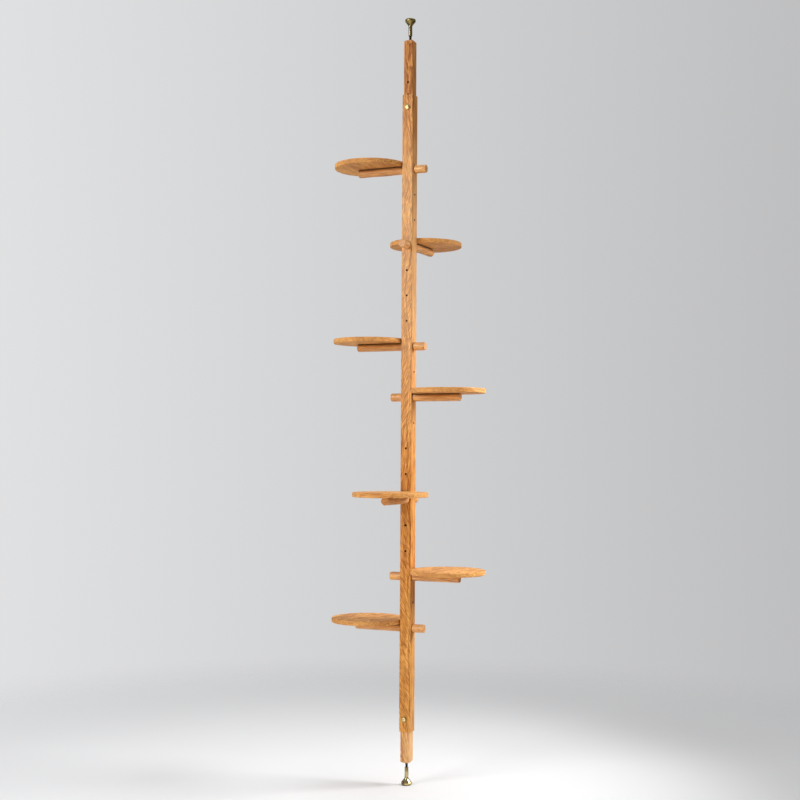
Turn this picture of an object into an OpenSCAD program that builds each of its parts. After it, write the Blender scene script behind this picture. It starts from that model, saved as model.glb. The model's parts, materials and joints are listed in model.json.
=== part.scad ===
// Floor-to-ceiling cat pole. A hollow square oak pole carries seven round shelves on round arms.
// A smaller oak pole slides in each end, and a brass screw foot jacks each one against floor or ceiling.
// The origin is on the floor, on the pole's axis, with +Z up. All sizes are in millimetres.

/* [Main pole] */
// Side of the square main pole
pole_w = 46; // [44:1:56]
// Radius of the main pole's long edges
pole_round = 3; // [1:0.5:5]
// Distance from the main pole's lower end to its first shelf hole
first_hole = 400; // [320:20:500]
// Distance from one shelf hole to the next
hole_pitch = 100; // [80:10:120]
// Distance from the last shelf hole to the main pole's upper end
last_hole = 296; // [220:4:400]
// Diameter of the shelf holes and of the lock screw holes
hole_d = 8; // [6:1:10]

/* [Sliding poles] */
// Side of the square sliding poles
inner_w = 38; // [34:1:39]
// Length of each sliding pole
inner_len = 400; // [400:10:460]
// Radius of the sliding poles' long edges
inner_round = 2; // [1:0.5:4]
// Chamfer on the sliding poles' ends
inner_chamfer = 6; // [2:1:8]
// Gap on each side between a sliding pole and the main pole
slide_gap = 0.3; // [0.2:0.1:0.6]
// Distance from a sliding pole's outer end to its first lock hole
first_lock = 170; // [140:5:175]
// Distance from one lock hole to the next
lock_pitch = 50; // [40:5:50]
// Number of the lock hole in use in the lower pole, counted from its outer end
lower_lock = 0; // [0:1:2]
// Number of the lock hole in use in the upper pole, counted from its outer end
upper_lock = 2; // [0:1:2]

/* [Feet] */
// Height of a foot with its pad
foot_h = 68; // [60:2:90]
// Diameter of a foot's flared end
foot_d = 42; // [36:1:60]
// Diameter of a foot's neck
neck_d = 15; // [13:0.5:18]
// Height of bare threaded rod between the neck and the sliding pole
jack_gap = 18; // [2:2:30]
// Diameter of the threaded rod
rod_d = 9.9; // [7.9:0.5:9.9]
// Length of the threaded rod
rod_len = 120; // [100:5:120]
// Diameter of the rubber pad
pad_d = 37; // [28:1:38]

/* [Shelves] */
// Diameter of a shelf plate
plate_d = 290; // [240:10:340]
// Thickness of a shelf plate
plate_t = 18; // [16:1:30]
// Rounding of a plate's rim
plate_round = 3; // [1:1:6]
// Diameter of a shelf arm and of a knob
arm_d = 32; // [28:1:40]
// Length of a shelf arm
arm_len = 196; // [150:2:220]
// Depth of the flat on an arm where the plate lies
arm_flat = 1.5; // [1:0.5:3]
// Length of a knob
knob_len = 47; // [44:1:60]

/* [Hidden] */
// Faces on a round shape
FINE = 96;
// Gap between flat faces of parts that move on each other
FACE_GAP = 0.1;
// Gap around a shaft that turns or slides in a hole
RUN_GAP = 0.05;
// Overcut that keeps a cut clear of the face it opens on
CUT = 1;

// Shelf holes from the bottom up, as [number of holes, direction of the drilling in degrees]
HOLE_GROUPS = [[3, 0], [5, 90], [4, 0], [4, 90], [3, 0]];
// Lock holes in each sliding pole
LOCK_HOLES = 5;
// Shelves from the bottom up, as [number of the hole, direction of the arm in degrees]
SHELVES = [[0, 180], [2, 0], [5, 270], [9, 0], [11, 180], [15, 90], [18, 180]];

hole_turn = [for (group = HOLE_GROUPS) for (i = [1:group[0]]) group[1]];
holes = len(hole_turn);
socket_w = inner_w + 2 * slide_gap;
face = pole_w / 2;

inner_z = foot_h + jack_gap;
lock_inset = lock_pitch;
lower_out = first_lock + lower_lock * lock_pitch - lock_inset;
upper_out = first_lock + upper_lock * lock_pitch - lock_inset;
pole_h = first_hole + (holes - 1) * hole_pitch + last_hole;
pole_z = inner_z + lower_out;
pole_top = pole_z + pole_h;
total_h = pole_top + upper_out + inner_z;
pole_chamfer = 1;

// Lock screw, its washer and its bush
stud_r = hole_d / 2 - RUN_GAP;
bush_r = hole_d / 2 + 2;
lock_washer_r = 10;
lock_washer_t = 1.2;
lock_head_r = 7.5;
lock_head_h = 4;
lock_travel = 5;
lock_socket_r = 2.9;
lock_socket_h = 2.4;

// Foot, rod, insert and pad
rod_r = rod_d / 2;
rod_end = foot_h - 48;
insert_r = rod_r + 3;
insert_flange_r = insert_r + 3;
insert_flange_t = 1.5;
insert_len = 24;
rod_room = 20;
brim_z = 2;
brim_h = 8;
flare_r = 14;
flare_lean = 40;
flare_steps = 20;
foot_chamfer = 1.5;
pad_t = 4;
pad_pin_r = rod_r - RUN_GAP;
pad_pin_h = 10;

// Arm, plate, knob and their fasteners
plate_x = face + plate_d / 2 + 0.5;
plate_z = arm_d / 2 - arm_flat;
arm_x = face + FACE_GAP;
end_chamfer = 1.5;
knob_washer_r = 9;
knob_washer_t = 1.5;
knob_x = face + knob_washer_t + 2 * FACE_GAP;
stud_in_knob = 34;
stud_len = 125;
stud_low = -knob_x - stud_in_knob;
stud_high = stud_low + stud_len;
knob_room = 4;
knob_insert_len = 18;
screw_cover = 5.5;
screw_r = 2.25;
screw_head_r = 4.5;
screw_head_h = 2.5;
screw_tip = 4;
screw_sink = 8;
screw_len = plate_z + plate_t + arm_d / 2 - screw_sink - screw_cover;
screw_x = [arm_x + 75, arm_x + 170];

function numbered(name) = [for (i = [1:len(SHELVES)]) str(name, "_", i)];

module rounded_square(side, r) {
    straight = side - 2 * r;
    square([side, straight], center = true);
    square([straight, side], center = true);
    for (x = [-1, 1], y = [-1, 1])
        translate([x, y] * straight / 2) circle(r, $fn = FINE);
}

// A square post from z = 0 up, with rounded long edges and chamfered ends
module post(side, height, r, chamfer) {
    low = chamfer;
    high = height - chamfer;
    half = side / 2;
    step = half - chamfer;
    outline = [[-step, 0], [step, 0], [half, low], [half, high],
               [step, height], [-step, height], [-half, high], [-half, low]];
    intersection() {
        linear_extrude(height) rounded_square(side, r);
        for_both_faces() linear_extrude(2 * side, center = true) polygon(outline);
    }
}

// The overlap of a standing outline seen from the front with the same outline seen from the side
module for_both_faces() {
    intersection() {
        rotate([90, 0, 0]) children();
        rotate([90, 0, 90]) children();
    }
}

// A cylinder along +X from x = from to x = to
module bar(r, from, to) {
    translate([from, 0, 0]) rotate([0, 90, 0]) cylinder(r = r, h = to - from, $fn = FINE);
}

// A cylinder along +X with a chamfer at each end
module chamfered_bar(r, from, to, chamfer) {
    length = to - from;
    outline = [[0, 0], [r - chamfer, 0], [r, chamfer],
               [r, length - chamfer], [r - chamfer, length], [0, length]];
    translate([from, 0, 0]) rotate([0, 90, 0]) rotate_extrude($fn = FINE) polygon(outline);
}

// A flat ring that lies from x = from to x = to
module ring(outer_r, inner_r, from, to) {
    difference() {
        bar(outer_r, from, to);
        bar(inner_r, from - CUT, to + CUT);
    }
}

// Parts of the pole's lower end stay where they are; those of the upper end are mirrored up to the ceiling
module at_end(end) {
    if (end == "upper") translate([0, 0, total_h]) mirror([0, 0, 1]) children();
    else children();
}

// Turns the +X direction to a shelf's own direction, at that shelf's hole
module at_shelf(i) {
    translate([0, 0, hole_z(SHELVES[i - 1][0])]) rotate([0, 0, SHELVES[i - 1][1]]) children();
}

// Turns the +X direction to the front face of the pole, at the lock screw of one end
module at_lock(end) {
    translate([0, 0, end == "upper" ? pole_top - lock_inset : pole_z + lock_inset])
        rotate([0, 0, -90]) children();
}

function hole_z(n) = pole_z + first_hole + n * hole_pitch;

module main_pole() {
    color("sandybrown") difference() {
        translate([0, 0, pole_z]) post(pole_w, pole_h, pole_round, pole_chamfer);
        translate([-socket_w / 2, -socket_w / 2, pole_z - CUT]) cube([socket_w, socket_w, pole_h + 2 * CUT]);
        for (n = [0:holes - 1])
            translate([0, 0, hole_z(n)]) rotate([0, 0, hole_turn[n]]) bar(hole_d / 2, -pole_w, pole_w);
        for (end = ["lower", "upper"]) at_lock(end) bar(bush_r, 0, pole_w);
    }
}

module lock_bushes() {
    color("goldenrod") for (end = ["lower", "upper"])
        at_lock(end) ring(bush_r, hole_d / 2, socket_w / 2, face);
}

module sliding_pole(end) {
    color("sandybrown") at_end(end) difference() {
        translate([0, 0, inner_z]) post(inner_w, inner_len, inner_round, inner_chamfer);
        for (i = [0:LOCK_HOLES - 1])
            translate([0, 0, inner_z + first_lock + i * lock_pitch]) rotate([0, 0, 90])
                bar(hole_d / 2, -inner_w, inner_w);
        translate([0, 0, inner_z - CUT]) {
            cylinder(r = insert_flange_r, h = insert_flange_t + CUT, $fn = FINE);
            cylinder(r = insert_r, h = insert_len + CUT, $fn = FINE);
            cylinder(r = rod_r + 1, h = rod_len - (foot_h - rod_end) + rod_room + CUT, $fn = FINE);
        }
    }
}

module insert(end) {
    color("goldenrod") at_end(end) translate([0, 0, inner_z]) difference() {
        union() {
            cylinder(r = insert_r, h = insert_len, $fn = FINE);
            cylinder(r = insert_flange_r, h = insert_flange_t, $fn = FINE);
        }
        translate([0, 0, -CUT]) cylinder(r = rod_r + RUN_GAP, h = insert_len + 2 * CUT, $fn = FINE);
    }
}

// Half of a foot's outline: a brim, a cone that curves up into the neck, and a straight neck
module foot_outline() {
    brim_r = foot_d / 2;
    neck_r = neck_d / 2;
    cone = (brim_r - neck_r - flare_r * (1 - cos(flare_lean))) / sin(flare_lean);
    flare_top = brim_z + brim_h + flare_r * sin(flare_lean) + cone * cos(flare_lean);
    brim = [[0, brim_z], [brim_r - foot_chamfer, brim_z], [brim_r, brim_z + foot_chamfer],
            [brim_r, brim_z + brim_h]];
    curve = [for (i = [0:flare_steps])
        let (a = 180 + flare_lean * (1 - i / flare_steps))
        [neck_r + flare_r, flare_top] + flare_r * [cos(a), sin(a)]];
    neck = [[neck_r, foot_h - foot_chamfer], [neck_r - foot_chamfer, foot_h], [0, foot_h]];
    polygon(concat(brim, curve, neck));
}

module foot(end) {
    color("darkkhaki") at_end(end) difference() {
        rotate_extrude($fn = FINE) foot_outline();
        cylinder(r = pad_d / 2 + slide_gap, h = pad_t + FACE_GAP, $fn = FINE);
        cylinder(r = rod_r, h = foot_h + CUT, $fn = FINE);
    }
}

module rod(end) {
    color("dimgray") at_end(end) translate([0, 0, rod_end]) rotate([0, -90, 0])
        chamfered_bar(rod_r, 0, rod_len, 1);
}

module pad(end) {
    color("black") at_end(end) {
        cylinder(r = pad_d / 2, h = pad_t, $fn = FINE);
        cylinder(r = pad_pin_r, h = pad_t + pad_pin_h, $fn = FINE);
    }
}

// The lock screw stands unscrewed, with its tip just clear of the sliding pole
module lock_screw(end) {
    head_x = face + 2 * FACE_GAP + lock_washer_t + lock_travel;
    color("gold") at_lock(end) difference() {
        union() {
            bar(stud_r, socket_w / 2, head_x + 1);
            chamfered_bar(lock_head_r, head_x, head_x + lock_head_h, 1);
        }
        translate([head_x + lock_head_h - lock_socket_h, 0, 0]) rotate([0, 90, 0])
            cylinder(r = lock_socket_r, h = lock_socket_h + CUT, $fn = 6);
    }
}

module lock_washer(end) {
    washer_x = face + FACE_GAP + lock_travel;
    color("peru") at_lock(end) ring(lock_washer_r, hole_d / 2, washer_x, washer_x + lock_washer_t);
}

// One wood screw that points up, with its head at z = 0
module plate_screw() {
    neck = screw_head_h;
    body = screw_len - screw_tip;
    rotate_extrude($fn = FINE)
        polygon([[0, 0], [screw_head_r, 0], [screw_r, neck], [screw_r, body], [0, screw_len]]);
}

module plate_screws() {
    for (x = screw_x) translate([x, 0, screw_sink - arm_d / 2]) plate_screw();
}

module plate(i) {
    outer = plate_d / 2;
    inset = outer - plate_round;
    color("peru") at_shelf(i) difference() {
        translate([plate_x, 0, plate_z]) rotate_extrude($fn = 2 * FINE) {
            square([inset, plate_t]);
            translate([0, plate_round]) square([outer, plate_t - 2 * plate_round]);
            for (y = [plate_round, plate_t - plate_round])
                translate([inset, y]) circle(plate_round, $fn = FINE);
        }
        plate_screws();
    }
}

module arm(i) {
    color("sandybrown") at_shelf(i) difference() {
        chamfered_bar(arm_d / 2, arm_x, face + arm_len, end_chamfer);
        translate([0, -arm_d, plate_z]) cube([2 * arm_len, 2 * arm_d, arm_d]);
        bar(stud_r, 0, stud_high);
        plate_screws();
        for (x = screw_x) translate([x, 0, -arm_d])
            cylinder(r = screw_head_r, h = arm_d / 2 + screw_sink, $fn = FINE);
    }
}

// The stud of one shelf and the two screws that hold its plate on its arm
module fixings(i) {
    color("silver") at_shelf(i) {
        chamfered_bar(stud_r, stud_low, stud_high, 0.8);
        plate_screws();
    }
}

module knob(i) {
    knob_end = knob_x + knob_len;
    color("sandybrown") at_shelf(i) difference() {
        chamfered_bar(arm_d / 2, -knob_end, -knob_x, end_chamfer);
        bar(bush_r, -knob_x - knob_insert_len, 0);
        bar(hole_d / 2 + 0.2, stud_low - knob_room, 0);
    }
}

module knob_insert(i) {
    color("goldenrod") at_shelf(i) ring(bush_r, hole_d / 2, -knob_x - knob_insert_len, -knob_x);
}

module knob_washer(i) {
    color("silver") at_shelf(i)
        ring(knob_washer_r, hole_d / 2, -face - FACE_GAP - knob_washer_t, -face - FACE_GAP);
}

main_pole();
lock_bushes();
for (end = ["lower", "upper"]) {
    sliding_pole(end);
    insert(end);
    foot(end);
    rod(end);
    pad(end);
    lock_screw(end);
    lock_washer(end);
}
for (i = [1:len(SHELVES)]) {
    plate(i);
    arm(i);
    fixings(i);
    knob(i);
    knob_insert(i);
    knob_washer(i);
}
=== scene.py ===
"""The looks of a floor-to-ceiling oak cat pole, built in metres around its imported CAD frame."""

import json
import math

import bpy
from mathutils import Matrix, Vector


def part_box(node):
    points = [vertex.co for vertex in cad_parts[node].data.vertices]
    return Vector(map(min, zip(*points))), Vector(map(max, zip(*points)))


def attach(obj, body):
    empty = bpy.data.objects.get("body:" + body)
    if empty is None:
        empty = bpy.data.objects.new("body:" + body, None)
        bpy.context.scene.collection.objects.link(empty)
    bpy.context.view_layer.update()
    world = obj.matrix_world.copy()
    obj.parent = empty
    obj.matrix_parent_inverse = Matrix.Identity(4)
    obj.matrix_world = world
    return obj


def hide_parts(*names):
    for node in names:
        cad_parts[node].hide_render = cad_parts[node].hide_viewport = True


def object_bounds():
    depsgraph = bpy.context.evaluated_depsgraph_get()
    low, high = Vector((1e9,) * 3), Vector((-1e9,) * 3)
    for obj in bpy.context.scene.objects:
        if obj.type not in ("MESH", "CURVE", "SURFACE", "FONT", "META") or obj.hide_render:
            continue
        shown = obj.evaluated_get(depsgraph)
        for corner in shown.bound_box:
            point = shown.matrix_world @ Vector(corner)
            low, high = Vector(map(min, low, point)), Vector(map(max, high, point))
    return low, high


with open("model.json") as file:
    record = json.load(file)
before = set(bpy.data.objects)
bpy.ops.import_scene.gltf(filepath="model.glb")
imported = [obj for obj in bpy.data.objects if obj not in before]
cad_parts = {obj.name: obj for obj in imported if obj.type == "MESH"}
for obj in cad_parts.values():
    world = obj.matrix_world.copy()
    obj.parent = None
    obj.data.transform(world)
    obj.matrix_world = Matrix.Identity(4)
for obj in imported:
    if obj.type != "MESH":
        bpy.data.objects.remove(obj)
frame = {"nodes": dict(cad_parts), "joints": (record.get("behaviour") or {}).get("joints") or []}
cad_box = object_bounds()

ENDS = ("lower", "upper")
SHELVES = range(1, 8)
joints = {joint["name"]: joint for joint in frame["joints"]}
height = cad_box[1].z

# Camera, in metres and degrees: where it stands round the pole, and how it is turned from facing the pole
CAMERA_DISTANCE = 5.277
CAMERA_HEIGHT = 1.300
CAMERA_AROUND = 23.54
CAMERA_YAW = 0.361
CAMERA_PITCH = 2.125
CAMERA_ROLL = 0.318
SENSOR_W = 36.0
LENS = 60.49
BACKDROP_LIGHTING = 0.62
ROOM_LIGHTING = 0.16

# Colours, linear
OAK_DARK = (0.285, 0.078, 0.010, 1)
OAK_MIDDLE = (0.590, 0.235, 0.042, 1)
OAK_LIGHT = (0.880, 0.450, 0.120, 1)
OAK_WORN = (0.840, 0.490, 0.200, 1)
# Painted sheen, added to the wood in paler patches
OAK_PAINTED_SHEEN = (0.085, 0.082, 0.058, 1)
OAK_END = (0.440, 0.180, 0.055, 1)
# Painted shade for the corners and gaps between parts
OAK_PAINTED_SHADE = (0.035, 0.013, 0.006, 1)
# Painted shade inside the posts' holes and hollows, and on the rims of the holes
HOLE_PAINTED_SHADE = (0.012, 0.004, 0.002, 1)
BACKDROP_LIGHT = (0.830, 0.835, 0.845, 1)
BACKDROP_DARK = (0.388, 0.390, 0.396, 1)
WARM = (1.0, 0.80, 0.56)
FLOOR_WHITE = (0.905, 0.912, 0.922, 1)

# Lean of the dashes in oak: radians for each metre along the grain, and radians for each unit of seed
LEAN_TURN = 2.50
LEAN_PHASE = 1.636

# Slant of the posts' dashes in metres
MAIN_SLANT = 0.22
INNER_SLANT = 0.05

# Patches of painted sheen, which make the wood paler: strength, the axis across the patch, and where on that
# axis the patch starts, is full, begins to end and is gone
# The main post's painted sheen is a band at middle height, the lower post's grows towards its right face, and
# knobs, arms and plates are paler all over
MAIN_PAINTED_SHEEN = (1.3, "Z", 1.2, 1.8, 2.35, 2.6)
LOWER_PAINTED_SHEEN = (2.4, "X", -0.035, 0.018, 1.0, 2.0)
ROUND_PAINTED_SHEEN = (0.9, "Z", -2.0, -1.0, 5.0, 6.0)
PLATE_PAINTED_SHEEN = (0.8, "Z", -2.0, -1.0, 5.0, 6.0)

# A stave this wide is wider than any piece, so the wood is in one board
SOLID = 10.0

# Threads and screws. A thread is THREAD_SHARE of its pitch deep, M8_STUD and M8_HOLE are radii, and
# BUTTON_RISE is the height of the dome on a lock screw
M8_PITCH = 0.00125
M10_PITCH = 0.0015
WOOD_PITCH = 0.0022
THREAD_SHARE = 0.6
M8_STUD = 0.00395
M8_HOLE = 0.0041
BUTTON_RISE = 0.0014

# Each arm's two wood screws: how far along the arm they are, how deep they are sunk, and their size
SCREW_SPOTS = (0.075, 0.170)
SCREW_SINK = 0.008
SCREW_HEAD = 0.0045
SCREW_SHANK = 0.00225
SCREW_LENGTH = 0.035


# ---------------------------------------------------------------------------------------------
# Node graphs
# ---------------------------------------------------------------------------------------------

class Graph:
    """Adds nodes to a tree. An input is a plain value or another node's output socket."""

    def __init__(self, tree):
        self.tree = tree

    def give(self, socket, value):
        """Links a socket to an output, or sets it to a plain value."""
        if isinstance(value, bpy.types.NodeSocket):
            self.tree.links.new(value, socket)
        else:
            socket.default_value = value

    def node(self, kind, inputs=None, **settings):
        made = self.tree.nodes.new(kind if kind.startswith("NodeGroup") else "ShaderNode" + kind)
        for key, value in settings.items():
            setattr(made, key, value)
        for key, value in (inputs or {}).items():
            self.give(made.inputs[key], value)
        return made

    def math(self, operation, a, b=0.0):
        return self.node("Math", {0: a, 1: b}, operation=operation).outputs[0]

    def add(self, *terms):
        total = terms[0]
        for term in terms[1:]:
            total = self.math("ADD", total, term)
        return total

    def subtract(self, a, b):
        return self.math("SUBTRACT", a, b)

    def multiply(self, a, b):
        return self.math("MULTIPLY", a, b)

    def absolute(self, a):
        """A number without its sign."""
        return self.math("ABSOLUTE", a)

    def vector(self, operation, a, b=(0, 0, 0)):
        made = self.node("VectorMath", {0: a, 1: b}, operation=operation)
        return made.outputs["Value" if operation in ("LENGTH", "DOT_PRODUCT") else "Vector"]

    def split(self, vector):
        """A vector's parts, by the names X, Y and Z."""
        return self.node("SeparateXYZ", {0: vector}).outputs

    def join(self, x=0.0, y=0.0, z=0.0):
        return self.node("CombineXYZ", {0: x, 1: y, 2: z}).outputs[0]

    def noise(self, point, scale, seed=0.0, detail=2.0, output="Fac"):
        """4D noise. scale has one number for each axis, in waves per metre."""
        inputs = {"Vector": self.vector("MULTIPLY", point, scale), "W": seed, "Scale": 1.0, "Detail": detail}
        return self.node("TexNoise", inputs, noise_dimensions="4D").outputs[output]

    def remap(self, value, from_min, from_max, to_min=0.0, to_max=1.0):
        inputs = {"Value": value, "From Min": from_min, "From Max": from_max,
                  "To Min": to_min, "To Max": to_max}
        return self.node("MapRange", inputs).outputs["Result"]

    def level(self, factor, a, b):
        """Mixes two numbers."""
        return self.node("Mix", {0: factor, 2: a, 3: b}).outputs[0]

    def mix(self, factor, a, b, blend="MIX"):
        """Mixes two colours."""
        return self.node("Mix", {0: factor, 6: a, 7: b}, data_type="RGBA", blend_type=blend).outputs[2]

    def ramp(self, value, stops):
        """A colour ramp through (position, colour) stops."""
        made = self.node("ValToRGB", {"Fac": value})
        elements = made.color_ramp.elements
        while len(elements) < len(stops):
            elements.new(0.5)
        for element, (position, colour) in zip(elements, stops):
            element.position = position
            element.color = colour
        return made.outputs["Color"]

    def edges(self, radius):
        """1 near sharp edges and 0 on flat faces."""
        soft = self.node("Bevel", {"Radius": radius}, samples=4).outputs["Normal"]
        true = self.node("NewGeometry").outputs["Normal"]
        return self.remap(self.vector("DOT_PRODUCT", soft, true), 0.99, 0.85)

    def crevice_shade(self, reach):
        """1 deep in the corners and gaps between surfaces closer than reach metres, and 0 in the open. It
        paints shade into those corners and gaps.
        """
        open_share = self.node("AmbientOcclusion", {"Distance": reach}, samples=8).outputs["AO"]
        return self.remap(open_share, 0.62, 0.22)


def grey(level):
    return (level, level, level, 1)


# One year of growth: dark early wood, pale late wood and a dark line at the end
YEAR = ((0.0, grey(0.0)), (0.16, grey(0.08)), (0.42, grey(0.66)), (0.80, grey(1.0)), (0.93, grey(0.70)),
        (1.0, grey(0.0)))


class OakGraph(Graph):
    """Oak as a solid: growth rings round a wandering heart, pores, rays, staves and end grain.

    The group's Point and Normal are in grain axes, X along the grain. Heart is where the log's middle lies
    across the grain, Ring the mean width of a year's growth, Stave the width of a board, and Slant how far
    the dashes lean.
    """

    def __init__(self):
        super().__init__(bpy.data.node_groups.new("Oak", "ShaderNodeTree"))
        for name, kind in (("Point", "Vector"), ("Normal", "Vector"), ("Heart", "Vector"),
                           ("Ring", "Float"), ("Stave", "Float"), ("Seed", "Float"), ("Slant", "Float")):
            self.tree.interface.new_socket(name, in_out="INPUT", socket_type="NodeSocket" + kind)
        for name, kind in (("Color", "Color"), ("Roughness", "Float"), ("Height", "Float")):
            self.tree.interface.new_socket(name, in_out="OUTPUT", socket_type="NodeSocket" + kind)
        self.given = self.node("NodeGroupInput").outputs
        self.cut_staves()
        self.wander_off()
        self.grow_rings()
        self.face_grain()
        self.scatter_marks()
        self.paint()

    def cut_staves(self):
        """Cuts the wood into boards. A board's own dice shift its heart, its seed and its tone."""
        far_off = 5.0
        stave = self.given["Stave"]
        self.raw = self.split(self.given["Point"])
        step = self.math("DIVIDE", self.add(self.raw["Y"], far_off), stave)
        self.across = self.subtract(self.math("FRACT", step), 0.5)
        spot = self.join(self.math("FLOOR", step), self.given["Seed"])
        dice = self.node("TexWhiteNoise", {"Vector": spot}).outputs["Color"]
        self.board = self.node("SeparateColor", {0: dice}).outputs
        self.seed = self.add(self.given["Seed"], self.multiply(self.board["Red"], 40.0))
        self.is_board = self.math("LESS_THAN", stave, 1.0)
        local_y = self.level(self.is_board, self.raw["Y"], self.multiply(self.across, stave))
        self.spot = self.join(self.raw["X"], local_y, self.raw["Z"])

    def sway(self, scale, seed, detail, reach):
        """A smooth wandering across the grain, reach metres wide."""
        drift = self.vector("SUBTRACT", self.noise(self.spot, scale, seed, detail, "Color"), (0.5, 0.5, 0.5))
        return self.vector("MULTIPLY", drift, (0, reach, reach))

    def wander_off(self):
        """How far the rings stray from straight: slowly along the log, and in ripples and swells."""
        slow = self.sway((1.7, 5, 5), self.seed, 1.5, 0.075)
        ripple = self.sway((16, 40, 40), self.seed, 2, 0.0075)
        swell = self.sway((6, 12, 12), self.add(self.seed, 9.0), 1, 0.022)
        self.wander = self.vector("ADD", self.vector("ADD", slow, ripple), swell)

    def grow_rings(self):
        """The rings: band is 0 in the dark early wood and 1 in the pale late wood."""
        off_centre = self.subtract(self.board["Green"], 0.5)
        shift = self.join(y=self.multiply(off_centre, self.multiply(self.is_board, 0.05)))
        flat = self.vector("MULTIPLY", self.spot, (0, 1, 1))
        bent = self.vector("ADD", self.vector("ADD", flat, self.wander), shift)
        arm = self.vector("SUBTRACT", bent, self.given["Heart"])
        radius = self.vector("LENGTH", arm)
        on_radius = self.join(radius)
        uneven = self.multiply(self.noise(on_radius, (130, 0, 0), self.seed, 1), 2.2)
        years = self.add(self.math("DIVIDE", radius, self.given["Ring"]), uneven)
        band = self.ramp(self.math("FRACT", years), YEAR)
        drought = self.remap(self.noise(on_radius, (210, 0, 0), self.seed, 2), 0.35, 0.65, 0.35, 1.0)
        self.band = self.subtract(1.0, self.multiply(self.subtract(1.0, band), drought))
        around = self.split(arm)
        angle = self.math("ARCTAN2", around["Y"], around["Z"])
        self.polar = self.join(self.raw["X"], angle, radius)

    def face_grain(self):
        """Fibres and dashes along the grain. On the broad faces the dashes lean, more and less by turns."""
        normal = self.split(self.given["Normal"])
        self.end_grain = self.remap(self.absolute(normal["X"]), 0.55, 0.98)
        flat_sawn = self.remap(self.absolute(normal["Z"]), 0.2, 0.8)
        phase = self.multiply(self.given["Seed"], LEAN_PHASE)
        turn = self.add(self.multiply(self.raw["X"], LEAN_TURN), phase)
        lean = self.multiply(self.multiply(self.math("SINE", turn), self.given["Slant"]), flat_sawn)
        bent = self.vector("ADD", self.vector("ADD", self.spot, self.wander), self.join(y=lean))
        self.fibres = self.remap(self.noise(bent, (14, 220, 220), self.seed, 3), 0.34, 0.66)
        dashes = self.remap(self.noise(bent, (32, 290, 290), self.add(self.seed, 5.0), 2), 0.45, 0.64)
        dashes = self.multiply(dashes, self.remap(flat_sawn, 0.0, 1.0, 0.25, 1.0))
        self.dashes = self.multiply(dashes, self.remap(self.is_board, 0.0, 1.0, 1.0, 0.5))

    def scatter_marks(self):
        """Pores, mostly in the early wood, rays as flecks across the rings, and streaks along them."""
        pores = self.remap(self.noise(self.spot, (70, 1500, 1500), self.seed, 1), 0.53, 0.66)
        self.pores = self.multiply(pores, self.remap(self.band, 0.0, 0.9, 1.0, 0.18))
        self.rays = self.remap(self.noise(self.polar, (75, 150, 60), self.seed, 1), 0.62, 0.72)
        self.streaks = self.remap(self.noise(self.polar, (11, 9, 130), self.seed, 2), 0.38, 0.62)

    def paint(self):
        """Turns the masks into colour, roughness and height, with painted shade in corners and gaps."""
        tone = self.remap(self.noise(self.spot, (1.6, 8, 8), self.seed, 2), 0.3, 0.7, -0.09, 0.11)
        own_tone = self.multiply(self.subtract(self.board["Blue"], 0.5), self.multiply(self.is_board, 0.22))
        shade = self.add(self.multiply(self.band, 0.44), self.multiply(self.fibres, 0.28),
                         self.multiply(self.streaks, 0.24), tone, own_tone)
        rubbed = self.remap(self.noise(self.given["Point"], (40, 40, 40), self.seed, 3), 0.42, 0.62)
        worn = self.multiply(self.edges(0.0016), rubbed)
        joint = self.subtract(0.5, self.absolute(self.across))
        glue = self.remap(self.multiply(joint, self.given["Stave"]), 0.0006, 0.0002)
        colour = self.ramp(shade, ((0.18, OAK_DARK), (0.50, OAK_MIDDLE), (0.88, OAK_LIGHT)))
        # The last mark is painted shade in corners and gaps, found by ambient occlusion; the others are the
        # wood's own
        for mask, share, tint in ((self.pores, 0.50, OAK_DARK), (self.dashes, 0.75, OAK_DARK),
                                  (self.rays, 0.22, OAK_WORN), (self.end_grain, 0.3, OAK_END),
                                  (worn, 0.45, OAK_WORN), (glue, 0.6, OAK_DARK),
                                  (self.crevice_shade(0.025), 0.75, OAK_PAINTED_SHADE)):
            colour = self.mix(self.multiply(mask, share), colour, tint)
        handled = self.noise(self.given["Point"], (22, 22, 22), self.seed, 3)
        rough = self.add(self.remap(self.band, 0.0, 1.0, 0.56, 0.42), self.multiply(self.end_grain, 0.14),
                         self.remap(handled, 0.3, 0.7, -0.06, 0.06))
        lift = self.add(self.multiply(self.band, 0.4), self.multiply(self.fibres, 0.3))
        height = self.subtract(lift, self.pores)
        self.node("NodeGroupOutput", {"Color": colour, "Roughness": rough, "Height": height})


def new_material(name):
    """An empty material and the graph that fills it."""
    material = bpy.data.materials.new(name)
    material.use_nodes = True
    material.node_tree.nodes.clear()
    return material, Graph(material.node_tree)


def close(g, colour, roughness, lift, depth, **constants):
    """Ends a material in a Principled shader with a bump depth metres high."""
    bump = g.node("Bump", {"Height": lift, "Distance": depth, "Strength": 1.0}).outputs["Normal"]
    inputs = {"Base Color": colour, "Roughness": roughness, "Normal": bump}
    inputs.update({key.replace("_", " "): value for key, value in constants.items()})
    shader = g.node("BsdfPrincipled", inputs)
    g.node("OutputMaterial", {"Surface": shader.outputs[0]})


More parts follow.
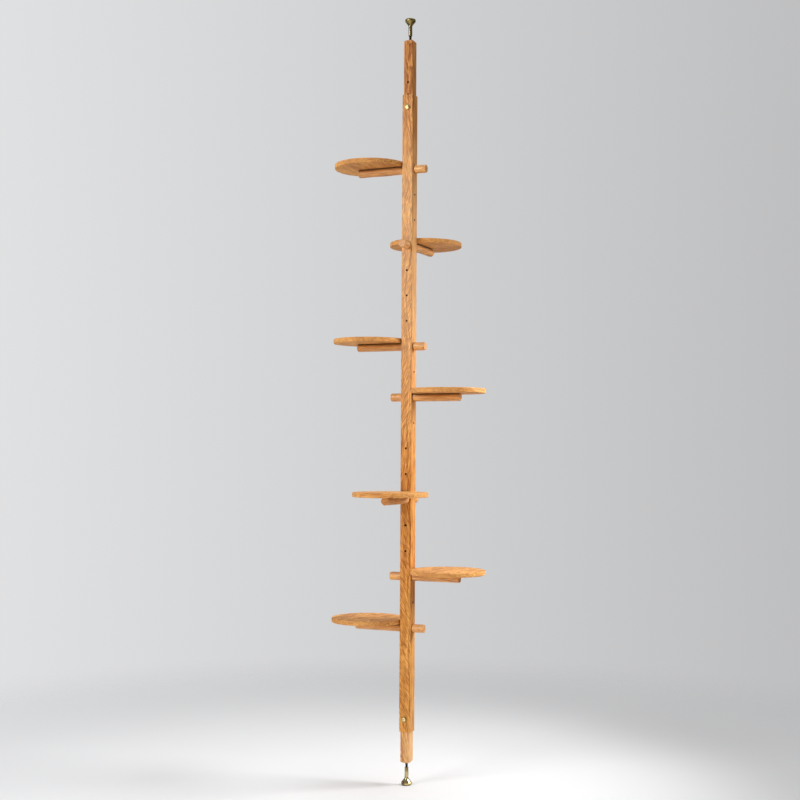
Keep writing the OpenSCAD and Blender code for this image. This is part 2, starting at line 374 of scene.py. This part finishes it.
def oak(name, along, across, heart, seed, ring=0.0030, stave=SOLID, origin=(0, 0, 0), slant=0.03, core=None,
        pale=None, shine=0.2, coat=0.06):
    """Oak with its grain along one axis of the object. heart is across and up from the piece's origin.

    core is the half side, the lowest z and the highest z of a post's inside, whose walls are rough bare wood
    painted dark as shade, as are the rims of its holes.
    pale is how much paler a patch of painted sheen makes the wood, the axis across the patch, and the four
    places along that axis where the patch starts, is full, begins to end and is gone.
    """
    material, g = new_material(name)
    axes = Matrix((Vector(along), Vector(across), Vector(along).cross(Vector(across))))
    turn = axes.to_euler()
    shift = -(axes @ Vector(origin))
    place = g.node("TexCoord").outputs
    point = g.node("Mapping", {"Vector": place["Object"], "Rotation": turn, "Location": shift}).outputs[0]
    normal = g.node("Mapping", {"Vector": place["Normal"], "Rotation": turn}, vector_type="VECTOR").outputs[0]
    wood = g.node("Group", node_tree=OAK)
    inputs = {"Point": point, "Normal": normal, "Heart": (0, *heart), "Ring": ring, "Stave": stave,
              "Seed": seed, "Slant": slant}
    for key, value in inputs.items():
        g.give(wood.inputs[key], value)
    colour = wood.outputs["Color"]
    rough = wood.outputs["Roughness"]
    if pale:
        # Painted sheen: a patch of the wood is made paler, as if lit with a whitish gloss
        strength, axis, start, full, leave, gone = pale
        along_axis = g.split(place["Object"])[axis]
        patch = g.multiply(g.remap(along_axis, start, full), g.remap(along_axis, gone, leave))
        more = [strength * c for c in OAK_PAINTED_SHEEN[:3]] + [1]
        colour = g.mix(patch, colour, more, "ADD")
    if core:
        # Painted shade: the rims of the holes and the walls of the holes and the hollow are coloured near
        # black
        rims, walls = inside(g, place["Object"], *core)
        colour = g.mix(rims, colour, HOLE_PAINTED_SHADE)
        colour = g.mix(walls, colour, HOLE_PAINTED_SHADE)
        rough = g.level(walls, rough, 0.95)
    close(g, colour, rough, wood.outputs["Height"], 0.00012,
          Coat_Weight=coat, Coat_Roughness=0.22, Specular_IOR_Level=shine)
    return material


def inside(g, point, half, low, high):
    """Two masks of a square post for painted shade: the sharp rims of its holes, and the walls of its holes
    and its hollow.
    """
    axes = g.split(point)
    reach = g.math("MAXIMUM", g.absolute(axes["X"]), g.absolute(axes["Y"]))
    within = g.math("LESS_THAN", reach, half)
    between = g.multiply(g.math("GREATER_THAN", axes["Z"], low), g.math("LESS_THAN", axes["Z"], high))
    sharp = g.remap(g.edges(0.0020), 0.45, 0.90)
    return g.multiply(sharp, between), g.multiply(within, between)


def metal(name, light, dark, roughness, lines):
    """A turned metal: fine lines round its axis (local Z), handling marks and bright worn edges."""
    material, g = new_material(name)
    point = g.node("TexCoord").outputs["Object"]
    turned = g.noise(point, (40, 40, lines), 1.0, 2)
    marks = g.noise(point, (160, 160, 160), 2.0, 4)
    stain = g.remap(g.noise(point, (48, 48, 30), 3.0, 3), 0.40, 0.58)
    rubbed = [min(1.0, 1.3 * c) for c in light[:3]] + [1]
    colour = g.mix(g.multiply(g.edges(0.0006), 0.6), g.mix(stain, light, dark), rubbed)
    rough = g.add(g.remap(marks, 0.3, 0.7, -0.09, 0.12), g.multiply(stain, 0.10), roughness)
    lift = g.add(g.multiply(turned, 0.7), g.multiply(marks, 0.3))
    close(g, colour, rough, lift, 0.00002, Metallic=1.0)
    return material


def rubber():
    """Matt moulded rubber with dust in its surface."""
    material, g = new_material("rubber")
    point = g.node("TexCoord").outputs["Object"]
    grain = g.noise(point, (900, 900, 900), 1.0, 3)
    dust = g.remap(g.noise(point, (70, 70, 70), 2.0, 4), 0.45, 0.75)
    colour = g.mix(dust, (0.022, 0.022, 0.023, 1), (0.060, 0.058, 0.055, 1))
    close(g, colour, g.remap(grain, 0.3, 0.7, 0.68, 0.86), grain, 0.00005)
    return material


# ---------------------------------------------------------------------------------------------
# Mesh tools
# ---------------------------------------------------------------------------------------------

def piece(name, body, slot, material, place, vertices, faces, nodes=(), sharp=35.0):
    """Makes an object from points in its own axes, puts it in place and lets it ride on a CAD body."""
    mesh = bpy.data.meshes.new(name)
    mesh.from_pydata(vertices, [], faces)
    mesh.validate()
    mesh.shade_smooth()
    mesh.set_sharp_from_angle(angle=math.radians(sharp))
    mesh.materials.append(material)
    made = bpy.data.objects.new(name, mesh)
    bpy.context.scene.collection.objects.link(made)
    made.matrix_world = place
    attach(made, body)
    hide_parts(*nodes)
    return made


def rounded(outline, steps=4):
    """An outline of (radius, z, fillet) corners as (radius, z) points, each fillet made of short chords."""
    points = []
    for i, (r, z, fillet) in enumerate(outline):
        here = Vector((r, z))
        if not fillet or i in (0, len(outline) - 1):
            points.append((r, z))
            continue
        back = (Vector(outline[i - 1][:2]) - here).normalized()
        ahead = (Vector(outline[i + 1][:2]) - here).normalized()
        half = back.angle(ahead) / 2
        start = here + back * fillet / math.tan(half)
        finish = here + ahead * fillet / math.tan(half)
        centre = here + (back + ahead).normalized() * fillet / math.sin(half)
        for k in range(steps + 1):
            spoke = (start - centre).lerp(finish - centre, k / steps).normalized()
            points.append(tuple(centre + spoke * fillet))
    return points


def arc(centre, radius, start, finish, steps):
    """Points (r, z) along an arc, angles in degrees."""
    turns = [math.radians(start + (finish - start) * k / steps) for k in range(steps + 1)]
    return [(centre[0] + radius * math.cos(t), centre[1] + radius * math.sin(t)) for t in turns]


def turned(outline, around=64):
    """Vertices and faces of an outline of (radius, z) turned round Z. A radius may depend on the angle."""
    vertices, rings = [], []
    for radius, z in outline:
        if radius == 0:
            rings.append([len(vertices)] * around)
            vertices.append((0, 0, z))
            continue
        rings.append(range(len(vertices), len(vertices) + around))
        for k in range(around):
            t = math.tau * k / around
            r = radius(t) if callable(radius) else radius
            vertices.append((r * math.cos(t), r * math.sin(t), z))
    faces = []
    for low, high in zip(rings, rings[1:]):
        for k in range(around):
            n = (k + 1) % around
            corners = list(dict.fromkeys((low[k], low[n], high[n], high[k])))
            if len(corners) > 2:
                faces.append(corners)
    return vertices, faces


def ring_shape(outer, inner, thick, fillet, around=64):
    """A flat ring from z = 0 to z = thick with softened edges."""
    middle = (inner, thick / 2, 0)
    outline = rounded([middle, (inner, 0, fillet), (outer, 0, fillet), (outer, thick, fillet),
                       (inner, thick, fillet), middle], 3)
    return turned(outline, around)


def thread_shape(radius, pitch, low, high, point=0.0, around=24, per_turn=6):
    """A threaded bar from z = low to z = high. Its crest is at radius. Its tip tapers over point metres."""
    depth = THREAD_SHARE * pitch
    core = radius - depth
    rows = max(2, round((high - low) / pitch * per_turn))
    vertices, faces = [], []
    for i in range(rows + 1):
        z = low + (high - low) * i / rows
        lead = min(1.0, (z - low) / pitch, (high - z) / max(point, pitch))
        for k in range(around):
            t = math.tau * k / around
            wave = abs(((z / pitch - t / math.tau) % 1) * 2 - 1)
            crest = 1 - min(1, max(0, wave * 1.35 - 0.18))
            r = (core * (1 if not point else max(0.12, lead)) + depth * crest * max(0, lead))
            vertices.append((r * math.cos(t), r * math.sin(t), z))
    for i in range(rows):
        for k in range(around):
            n = (k + 1) % around
            a = i * around
            faces.append((a + k, a + n, a + around + n, a + around + k))
    for z, first, flip in ((low, 0, True), (high, rows * around, False)):
        vertices.append((0, 0, z))
        for k in range(around):
            edge = (first + k, first + (k + 1) % around)
            faces.append((*(edge[::-1] if flip else edge), len(vertices) - 1))
    return vertices, faces


def joined(*shapes):
    """Several shapes as one list of vertices and one of faces. A shape may come with a matrix."""
    vertices, faces = [], []
    for shape in shapes:
        points, polygons = shape[:2]
        move = shape[2] if len(shape) > 2 else Matrix.Identity(4)
        start = len(vertices)
        vertices += [tuple(move @ Vector(p)) for p in points]
        faces += [tuple(start + i for i in polygon) for polygon in polygons]
    return vertices, faces


def hexagon(apothem):
    """The radius of a hexagon at an angle."""
    return lambda t: apothem / math.cos((t + math.pi / 6) % (math.pi / 3) - math.pi / 6)


def cross(reach, half):
    """The radius of a screw's cross recess at an angle."""
    def radius(t):
        turn = abs((t + math.pi / 4) % (math.pi / 2) - math.pi / 4)
        return min(reach / math.cos(turn), half / max(math.sin(turn), 1e-6))
    return radius


def knurl(radius, deep=0.0003, ribs=32):
    """The radius of a ribbed barrel at an angle."""
    return lambda t: radius - deep + deep * abs(math.sin(ribs / 2 * t))


def toward(x_axis, z):
    """The place whose local Z points along a level direction, at a height on the pole's axis."""
    out = Vector(x_axis)
    return Matrix.Translation((0, 0, z)) @ out.to_track_quat("Z", "Y").to_matrix().to_4x4()


def end_place(end):
    """Local Z points from the floor or the ceiling towards the middle of the pole."""
    if end == "lower":
        return Matrix.Identity(4)
    return Matrix.Translation((0, 0, height)) @ Matrix.Rotation(math.pi, 4, "X")


def span(node, place):
    """A CAD node's lowest and highest local z, and its widest reach from the local axis."""
    low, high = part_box(node)
    back = place.inverted()
    corners = [back @ Vector((x, y, z))
               for x in (low.x, high.x) for y in (low.y, high.y) for z in (low.z, high.z)]
    heights = [c.z for c in corners]
    return min(heights), max(heights), max(abs(c.x) for c in corners)


# ---------------------------------------------------------------------------------------------
# Materials
# ---------------------------------------------------------------------------------------------

OAK = OakGraph().tree
BRASS = metal("brass", (0.60, 0.49, 0.24, 1), (0.15, 0.105, 0.04, 1), 0.18, 900)
# A darker copy of the brass for the upper foot: painted shade
SHADED_BRASS = metal("shaded_brass", (0.38, 0.29, 0.105, 1), (0.100, 0.066, 0.022, 1), 0.24, 900)
BRIGHT_BRASS = metal("bright_brass", (0.90, 0.74, 0.38, 1), (0.62, 0.48, 0.22, 1), 0.42, 900)
AGED_BRASS = metal("aged_brass", (0.42, 0.31, 0.13, 1), (0.22, 0.15, 0.07, 1), 0.38, 700)
ZINC = metal("zinc_steel", (0.66, 0.68, 0.70, 1), (0.48, 0.49, 0.50, 1), 0.26, 700)
BLACK = metal("black_rod", (0.060, 0.058, 0.056, 1), (0.030, 0.029, 0.028, 1), 0.38, 700)
RUBBER = rubber()

UP, RIGHT, FRONT = Vector((0, 0, 1)), Vector((1, 0, 0)), Vector((0, -1, 0))


def paint(node, material):
    """Gives a carried-over CAD node its material."""
    shown = frame["nodes"][node]
    shown.data.materials.clear()
    shown.data.materials.append(material)


# ---------------------------------------------------------------------------------------------
# The poles and what is on their ends
# ---------------------------------------------------------------------------------------------

def poles():
    """The three posts. The walls of their holes are rough bare wood with painted shade, and the rims of the
    holes are painted dark too.

    kinds gives each post's node, heart, seed, slant and patch of painted sheen.
    """
    kinds = (("main_pole", (0.042, 0.056), 3.0, MAIN_SLANT, MAIN_PAINTED_SHEEN),
             ("lower_pole", (-0.030, 0.050), 11.0, INNER_SLANT, LOWER_PAINTED_SHEEN),
             ("upper_pole", (0.004, 0.044), 24.0, INNER_SLANT, None))
    for node, heart, seed, slant, pale in kinds:
        low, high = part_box(node)
        skin = 0.0008
        end_room = 0.008
        core = (high.x - skin, low.z + end_room, high.z - end_room)
        material = oak(f"oak_{node}", UP, RIGHT, heart, seed, ring=0.0042, slant=slant, core=core, pale=pale)
        paint(node, material)


def foot(end):
    """A brass foot: a grooved brim, a cone that curves into the neck, and a grooved neck.

    The upper foot's brass is a darker copy of the brass, painted shade.
    """
    place = end_place(end)
    base, top, brim_r = span(f"{end}_foot", place)
    recess = span(f"{end}_pad", place)[2] + 0.0003
    neck_r, flare_r, brim_h, lean = 0.0075, 0.014, 0.008, 40
    bore_r, recess_top, brim_groove, neck_groove = 0.0049, 0.0041, 0.0008, 0.0005
    sine, cosine = math.sin(math.radians(lean)), math.cos(math.radians(lean))
    cone = (brim_r - neck_r - flare_r * (1 - cosine)) / sine
    flare_low = base + brim_h
    flare_top = flare_low + flare_r * sine + cone * cosine
    rim = rounded([(bore_r, recess_top, 0), (recess, recess_top, 0), (recess, base, 0.0004),
                   (brim_r, base, 0.0012), (brim_r, flare_low - 0.0012, 0.0006),
                   (brim_r - brim_groove, flare_low - 0.0009, 0.0002),
                   (brim_r - brim_groove, flare_low - 0.0003, 0.0002), (brim_r, flare_low, 0)], 5)
    flare = arc((neck_r + flare_r, flare_top), flare_r, 180 + lean, 180, 24)
    neck = rounded([(neck_r, flare_top, 0), (neck_r, top - 0.0040, 0.0002),
                    (neck_r - neck_groove, top - 0.0036, 0.0002),
                    (neck_r - neck_groove, top - 0.0030, 0.0002), (neck_r, top - 0.0026, 0.0003),
                    (neck_r, top, 0.0012), (bore_r, top, 0), (bore_r, recess_top, 0)], 4)
    vertices, faces = turned(rim + flare + neck[1:], 96)
    # Painted shade: the upper foot gets a darker copy of the brass
    brass = BRASS if end == "lower" else SHADED_BRASS
    return piece(f"{end}_brass_foot", f"{end}_foot", "brass", brass, place, vertices, faces, [f"{end}_foot"])


def rod(end):
    """The black threaded rod that turns with a foot."""
    place = end_place(end)
    low, high, radius = span(f"{end}_rod", place)
    shape = thread_shape(radius, M10_PITCH, low, high, around=32, per_turn=8)
    return piece(f"{end}_threaded_rod", f"{end}_foot", "black_rod", BLACK, place, *shape, [f"{end}_rod"])


def pad(end):
    """A rubber pad with three grooves in its sole and a spigot that turns inside the foot."""
    place = end_place(end)
    low, high, radius = span(f"{end}_pad", place)
    thick, spigot = 0.004, 0.0049
    mouth, bottom, deep = 0.0006, 0.0003, 0.0008
    outline = [(0, low, 0)]
    for groove in (0.006, 0.0105, 0.015):
        outline += [(groove - mouth, low, 0), (groove - bottom, low + deep, 0),
                    (groove + bottom, low + deep, 0), (groove + mouth, low, 0)]
    outline += [(radius, low, 0.0006), (radius, low + thick, 0.0006), (spigot, low + thick, 0.0003),
                (spigot, high, 0.0006), (0, high, 0)]
    vertices, faces = turned(rounded(outline, 4), 96)
    return piece(f"{end}_rubber_pad", f"{end}_pad", "rubber", RUBBER, place, vertices, faces, [f"{end}_pad"])


def insert(end):
    """The flanged brass nut in the end of a sliding pole."""
    place = end_place(end)
    low, high, flange_r = span(f"{end}_insert", place)
    bore, body_r, flange_t = 0.0050, flange_r - 0.003, 0.0015
    outline = rounded([(bore, high, 0), (bore, low, 0.0003), (flange_r, low, 0.0004),
                       (flange_r, low + flange_t, 0.0003), (body_r, low + flange_t, 0.0002),
                       (body_r, high, 0.0004), (bore, high, 0)], 3)
    vertices, faces = turned(outline, 64)
    return piece(f"{end}_flanged_insert", f"{end}_pole", "aged_brass", AGED_BRASS, place, vertices, faces,
                 [f"{end}_insert"])


def lock(end):
    """The lock screw of one end, and its washer."""
    travel = joints[f"{end}_lock_turn"]
    place = toward(FRONT, travel["pos_m"][2])
    low, high, head_r = span(f"{end}_lock_screw", place)
    washer_low, washer_high, washer_r = span(f"{end}_lock_washer", place)
    head_h, socket_h, socket_lip, socket_tip, shank_r = 0.004, 0.0024, 0.0004, 0.0006, 0.0039
    shank = thread_shape(shank_r, M8_PITCH, low, high - head_h + 0.0004)
    side = rounded([(0, high - head_h, 0), (head_r, high - head_h, 0.0004),
                    (head_r, high - BUTTON_RISE, 0)], 5)
    dome_r = (head_r ** 2 + BUTTON_RISE ** 2) / (2 * BUTTON_RISE)
    dome = [(r, high - dome_r + math.sqrt(dome_r ** 2 - r ** 2))
            for r in (0.0071, 0.0064, 0.0056, 0.0047, 0.0038)]
    key_hole = hexagon(0.0025)
    socket = [(key_hole, high - socket_lip), (key_hole, high - socket_h), (0, high - socket_h - socket_tip)]
    vertices, faces = joined(shank, turned(side + dome + socket, 72))
    piece(f"{end}_lock_screw_threaded", f"{end}_lock_screw", "brass", BRIGHT_BRASS, place, vertices, faces,
          [f"{end}_lock_screw"])
    vertices, faces = ring_shape(washer_r, M8_HOLE, washer_high - washer_low, 0.0003)
    piece(f"{end}_lock_washer_ring", f"{end}_lock_washer", "aged_brass", AGED_BRASS,
          place @ Matrix.Translation((0, 0, washer_low)), vertices, faces, [f"{end}_lock_washer"])


def bushes():
    """The two brass bushes in the main pole's front wall."""
    face = -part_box("main_pole")[0].y
    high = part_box("lock_bushes")[1]
    wall = face + high.y
    bush = ring_shape(high.x, 0.0040, wall, 0.0003)
    shapes = []
    for end in ENDS:
        place = toward(FRONT, joints[f"{end}_lock_turn"]["pos_m"][2])
        shapes.append((*bush, place @ Matrix.Translation((0, 0, face - wall))))
    vertices, faces = joined(*shapes)
    place = Matrix.Identity(4)
    return piece("threaded_bushes", "main_pole", "aged_brass", AGED_BRASS, place, vertices, faces,
                 ["lock_bushes"])


# ---------------------------------------------------------------------------------------------
# The shelves
# ---------------------------------------------------------------------------------------------

def plate(i, out):
    """A round top of edge-glued staves with a rounded rim."""
    low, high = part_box(f"plate_{i}")
    centre = (low + high) / 2
    radius, thick, fillet = (high.x - low.x) / 2, high.z - low.z, 0.003
    side = UP.cross(out)
    place = Matrix.Translation((centre.x, centre.y, low.z)) @ Matrix((out, side, UP)).transposed().to_4x4()
    flat, middle = 0.9 * radius, 0.45 * radius
    rim = rounded([(flat, 0, 0), (radius, 0, fillet), (radius, thick, fillet), (flat, thick, 0)], 8)
    outline = [(0, 0), (middle, 0)] + rim + [(middle, thick), (0, thick)]
    vertices, faces = turned(outline, 192)
    seed, stave = 50.0 + 3.7 * i, 0.058 + 0.003 * (i % 3)
    material = oak(f"oak_plate_{i}", (0, 1, 0), (-1, 0, 0), (0.045, -0.055), seed, ring=0.0044, stave=stave,
                   pale=PLATE_PAINTED_SHEEN, shine=0.06, coat=0.0)
    return piece(f"plate_{i}_top", f"shelf_{i}", "oak_plate", material, place, vertices, faces,
                 [f"plate_{i}"])


def knob(i, out, z):
    """A turned wooden knob with an eased edge and the bore for its insert."""
    place = toward(-out, z)
    low, high, radius = span(f"knob_{i}", place)
    insert_low, insert_high, insert_r = span(f"knob_insert_{i}", place)
    bore_r, bore_end = 0.0042, low + 0.038
    outline = rounded([(0, bore_end, 0), (bore_r, bore_end, 0), (bore_r, insert_high, 0),
                       (insert_r, insert_high, 0), (insert_r, low, 0.0003), (radius, low, 0.0012),
                       (radius, high, 0.0024), (0, high, 0)], 6)
    vertices, faces = turned(outline, 96)
    heart = (0.055, 0.020 - 0.008 * (i % 4))
    material = oak(f"oak_knob_{i}", UP, RIGHT, heart, 90.0 + 2.9 * i, ring=0.0026, pale=ROUND_PAINTED_SHEEN,
                   shine=0.5, coat=0.15)
    piece(f"knob_{i}_handle", f"knob_{i}", "oak_round", material, place, vertices, faces, [f"knob_{i}"])
    ribs = knurl(insert_r)
    outline = [(M8_HOLE, insert_high), (M8_HOLE, insert_low), (ribs, insert_low), (ribs, insert_high),
               (M8_HOLE, insert_high)]
    piece(f"knob_{i}_threaded_insert", f"knob_{i}", "aged_brass", AGED_BRASS, place, *turned(outline, 128),
          [f"knob_insert_{i}"])


def fixings(i, out, z):
    """The stud through the pole, and the two wood screws that hold the plate on its arm."""
    place = toward(out, z)
    arm_low, _, arm_r = span(f"arm_{i}", place)
    low, high, _ = span(f"fixings_{i}", place)
    up = place.inverted().to_3x3() @ UP
    upright = up.to_track_quat("Z", "Y").to_matrix().to_4x4()
    below = up * (arm_r - SCREW_SINK)
    screw = wood_screw(SCREW_HEAD, SCREW_SHANK, SCREW_LENGTH)
    shapes = [thread_shape(M8_STUD, M8_PITCH, low, high)]
    for along in SCREW_SPOTS:
        spot = Vector((0, 0, arm_low + along)) - below
        shapes.append((*screw, Matrix.Translation(spot) @ upright))
    vertices, faces = joined(*shapes)
    return piece(f"fixings_{i}_stud_and_screws", f"shelf_{i}", "zinc_steel", ZINC, place, vertices, faces,
                 [f"fixings_{i}"])


def wood_screw(head_r, shank_r, length):
    """A countersunk screw that points up, with its head's face at z = 0 and a cross recess in it."""
    mouth, tip = cross(0.0024, 0.00042), cross(0.0010, 0.0002)
    plain_r, plain_end = 0.8 * shank_r, 0.0120
    outline = [(0, 0.0021), (tip, 0.0020), (mouth, 0.0003), (0.0026, 0), (head_r - 0.0001, 0),
               (head_r, 0.0002), (shank_r, 0.0025), (plain_r, 0.0026), (plain_r, plain_end), (0, plain_end)]
    head = turned(outline, 64)
    body = thread_shape(shank_r, WOOD_PITCH, plain_end - 0.0010, length, point=0.006, around=16)
    return joined(head, body)


def washer(i, out, z):
    """The steel washer between a knob and the pole."""
    place = toward(-out, z)
    low, high, radius = span(f"knob_washer_{i}", place)
    vertices, faces = ring_shape(radius, M8_HOLE, high - low, 0.0003)
    return piece(f"knob_{i}_washer_ring", f"knob_washer_{i}", "zinc_steel", ZINC,
                 place @ Matrix.Translation((0, 0, low)), vertices, faces, [f"knob_washer_{i}"])


def shelf(i):
    """One shelf: its plate, arm, fixings, knob and washer. The arm points along its hinge's axis."""
    tilt = joints[f"shelf_{i}_tilt"]
    out, z = Vector(tilt["axis"]), tilt["pos_m"][2]
    plate(i, out)
    heart = (0.016 + 0.006 * (i % 3), 0.046)
    material = oak(f"oak_arm_{i}", out, UP.cross(out), heart, 130.0 + 5.3 * i, ring=0.0028,
                   origin=(0, 0, z), pale=ROUND_PAINTED_SHEEN, shine=0.4, coat=0.1)
    paint(f"arm_{i}", material)
    fixings(i, out, z)
    knob(i, out, z)
    washer(i, out, z)


# ---------------------------------------------------------------------------------------------
# The studio
# ---------------------------------------------------------------------------------------------

def camera():
    """The camera, a little to the right of the pole's front face."""
    data = bpy.data.cameras.new("camera")
    data.lens, data.sensor_width = LENS, SENSOR_W
    data.clip_end = 60
    made = bpy.data.objects.new("camera", data)
    bpy.context.scene.collection.objects.link(made)
    around = math.radians(CAMERA_AROUND)
    spot = (CAMERA_DISTANCE * math.sin(around), -CAMERA_DISTANCE * math.cos(around), CAMERA_HEIGHT)
    heading = Matrix.Rotation(math.radians(CAMERA_AROUND + CAMERA_YAW), 4, "Z")
    tilt = Matrix.Rotation(math.radians(90 + CAMERA_PITCH), 4, "X")
    roll = Matrix.Rotation(math.radians(CAMERA_ROLL), 4, "Z")
    made.matrix_world = Matrix.Translation(spot) @ heading @ tilt @ roll
    bpy.context.scene.camera = made


def backdrop(scene):
    """A grey background, lighter on one side. It lights the object weakly, least from behind the camera."""
    scene.world = bpy.data.worlds.new("studio")
    scene.world.use_nodes = True
    scene.world.node_tree.nodes.clear()
    g = Graph(scene.world.node_tree)
    around = math.radians(CAMERA_AROUND)
    toward_sky = g.node("TexCoord").outputs["Generated"]
    side = g.vector("DOT_PRODUCT", toward_sky, (math.cos(around), math.sin(around), 0))
    front = g.vector("DOT_PRODUCT", toward_sky, (math.sin(around), -math.cos(around), 0))
    colour = g.mix(g.remap(side, -0.5, 0.6), BACKDROP_LIGHT, BACKDROP_DARK)
    seen = g.node("LightPath").outputs["Is Camera Ray"]
    lighting = g.remap(front, 0.0, 0.8, BACKDROP_LIGHTING, ROOM_LIGHTING)
    strength = g.level(seen, lighting, 1.0)
    light = g.node("Background", {"Color": colour, "Strength": strength})
    g.node("OutputWorld", {"Surface": light.outputs[0]})


def soft_box(name, spot, aim, size, power, spread=180, colour=(1, 1, 1)):
    """A rectangular area light that faces a point. spread is the width of its beam in degrees."""
    data = bpy.data.lights.new(name, "AREA")
    data.shape = "RECTANGLE"
    data.size, data.size_y = size
    data.energy = power
    data.color = colour
    data.spread = math.radians(spread)
    made = bpy.data.objects.new(name, data)
    bpy.context.scene.collection.objects.link(made)
    made.location = spot
    made.rotation_euler = (Vector(aim) - Vector(spot)).to_track_quat("-Z", "Y").to_euler()


def floor():
    """A white floor just below the pads. It fades into the background with distance from the pole."""
    material, g = new_material("floor")
    point = g.node("TexCoord").outputs["Object"]
    far = g.remap(g.vector("LENGTH", point), 1.1, 3.4)
    far.node.interpolation_type = "SMOOTHSTEP"
    cloud = g.remap(g.noise(point, (1.5, 1.5, 1.5), 5.0, 2), 0.3, 0.7, 0.0, 0.03)
    white = g.mix(cloud, FLOOR_WHITE, BACKDROP_DARK)
    shade = g.node("BsdfPrincipled", {"Base Color": white, "Roughness": 0.6}).outputs[0]
    clear = g.node("BsdfTransparent").outputs[0]
    mixed = g.node("MixShader", {0: far, 1: shade, 2: clear}).outputs[0]
    g.node("OutputMaterial", {"Surface": mixed})
    vertices, faces = turned([(6, 0), (2, 0), (0, 0)], 64)
    mesh = bpy.data.meshes.new("floor")
    mesh.from_pydata(vertices, [], faces)
    mesh.materials.append(material)
    made = bpy.data.objects.new("floor", mesh)
    bpy.context.scene.collection.objects.link(made)
    made.location.z = -0.0005


def studio():
    """The background, the lights and the floor."""
    scene = bpy.context.scene
    scene.view_settings.view_transform = "Standard"
    backdrop(scene)
    soft_box("key", spot=(-1.6, -3.4, 2.9), aim=(0, 0, 1.2), size=(2.0, 2.0), power=92)
    soft_box("fill", spot=(0.6, -2.8, 0.6), aim=(0, 0, 2.1), size=(1.6, 0.8), power=10, spread=108,
             colour=WARM)
    soft_box("side", spot=(1.6, 0.7, 1.9), aim=(0, 0, 0.9), size=(1.0, 0.8), power=16, spread=97)
    soft_box("top", spot=(0.5, 0.5, 4.6), aim=(0, 0, 0), size=(2.4, 2.4), power=50)
    floor()


poles()
bushes()
for end in ENDS:
    foot(end)
    rod(end)
    pad(end)
    insert(end)
    lock(end)
for i in SHELVES:
    shelf(i)
studio()
camera()
